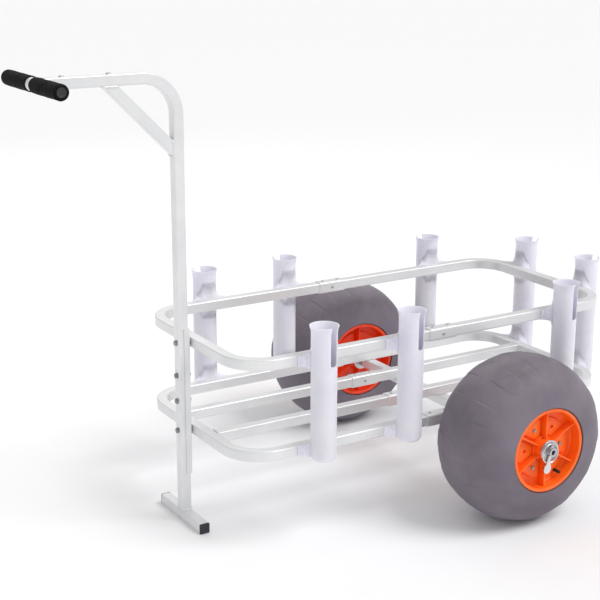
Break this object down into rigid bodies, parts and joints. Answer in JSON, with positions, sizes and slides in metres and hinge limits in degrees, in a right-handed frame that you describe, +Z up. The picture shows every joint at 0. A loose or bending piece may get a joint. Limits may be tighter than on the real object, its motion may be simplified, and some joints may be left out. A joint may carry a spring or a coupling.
{
  "type": "beach cart",
  "caption": "Fishing cart for sand: square-tube rings with a slatted deck, moulded rod holders, two balloon wheels on a cross axle, and a tall post with a T handle and a foot.",
  "frame": {"origin": "on the ground, below the middle of the cart's overall box", "axes": "+X from the handle end towards the tail, +Y towards the right-hand wheel, +Z up; the handle leads, so left and right are as seen by a person who pulls the cart"},
  "size_m": [1.5039, 1.0212, 1.0645],
  "materials": {
    "frame_aluminium": "satin mill-finish drawn tube",
    "holder_plastic": "slightly translucent moulded polyethylene",
    "tyre_rubber": "smooth matt polyurethane balloon tyre",
    "hub_plastic": "semi-gloss moulded plastic",
    "grip_foam": "closed-cell foam",
    "cap_rubber": "soft moulded cap",
    "black_nylon": "moulded nylon",
    "fastener_steel": "zinc plated",
    "bright_steel": "bright drawn stainless"
  },
  "bodies": {
    "frame": {"upper_ring_front": "frame_aluminium", "upper_ring_rear": "frame_aluminium", "lower_ring_front": "frame_aluminium", "lower_ring_rear": "frame_aluminium", "slat_left_front": "frame_aluminium", "slat_left_rear": "frame_aluminium", "slat_right_front": "frame_aluminium", "slat_right_rear": "frame_aluminium", "sleeve_upper_left": "frame_aluminium", "sleeve_upper_right": "frame_aluminium", "sleeve_lower_left": "frame_aluminium", "sleeve_lower_right": "frame_aluminium", "sleeve_slat_left": "frame_aluminium", "sleeve_slat_right": "frame_aluminium", "sleeve_screws": "fastener_steel", "post_channel": "frame_aluminium", "handle_post": "frame_aluminium", "handle_brace": "frame_aluminium", "handle_bolts": "fastener_steel", "handle_bar": "bright_steel", "grip_left": "grip_foam", "grip_right": "grip_foam", "grip_plugs": "black_nylon", "leg_post": "frame_aluminium", "foot_bar": "frame_aluminium", "foot_cap_left": "cap_rubber", "foot_cap_right": "cap_rubber", "post_bolts": "fastener_steel", "post_nuts": "fastener_steel", "post_spacers": "black_nylon", "holder_left_front": "holder_plastic", "holder_left_middle": "holder_plastic", "holder_left_rear": "holder_plastic", "holder_right_front": "holder_plastic", "holder_right_middle": "holder_plastic", "holder_right_rear": "holder_plastic", "holder_tail_left": "holder_plastic", "holder_tail_right": "holder_plastic", "holder_screws": "fastener_steel", "axle_tube": "frame_aluminium", "axle_rod": "bright_steel", "axle_spacers": "bright_steel", "washers_left": "bright_steel", "washers_right": "bright_steel", "lock_pin_left": "bright_steel", "lock_pin_right": "bright_steel"},
    "wheel_left": {"tyre_left": "tyre_rubber", "hub_outer_left": "hub_plastic", "hub_inner_left": "hub_plastic", "hub_screws_left": "fastener_steel", "bushes_left": "black_nylon", "valve_left": "black_nylon"},
    "wheel_right": {"tyre_right": "tyre_rubber", "hub_outer_right": "hub_plastic", "hub_inner_right": "hub_plastic", "hub_screws_right": "fastener_steel", "bushes_right": "black_nylon", "valve_right": "black_nylon"},
    "lock_left": {"lock_ring_left": "bright_steel"},
    "lock_right": {"lock_ring_right": "bright_steel"}
  },
  "joints": [
    {"name": "wheel_left_spin", "type": "hinge", "parent": "frame", "child": "wheel_left", "pos_m": [0.27775, -0.387, 0.2], "axis": [0, 1, 0], "continuous": true},
    {"name": "wheel_right_spin", "type": "hinge", "parent": "frame", "child": "wheel_right", "pos_m": [0.27775, 0.387, 0.2], "axis": [0, 1, 0], "continuous": true},
    {"name": "lock_ring_left_swing", "type": "hinge", "parent": "frame", "child": "lock_left", "pos_m": [0.27087, -0.5016, 0.17431], "axis": [0.9659, 0, -0.2588], "range_deg": [0, 180]},
    {"name": "lock_ring_right_swing", "type": "hinge", "parent": "frame", "child": "lock_right", "pos_m": [0.27087, 0.5016, 0.17431], "axis": [-0.9659, 0, 0.2588], "range_deg": [0, 180]}
  ]
}
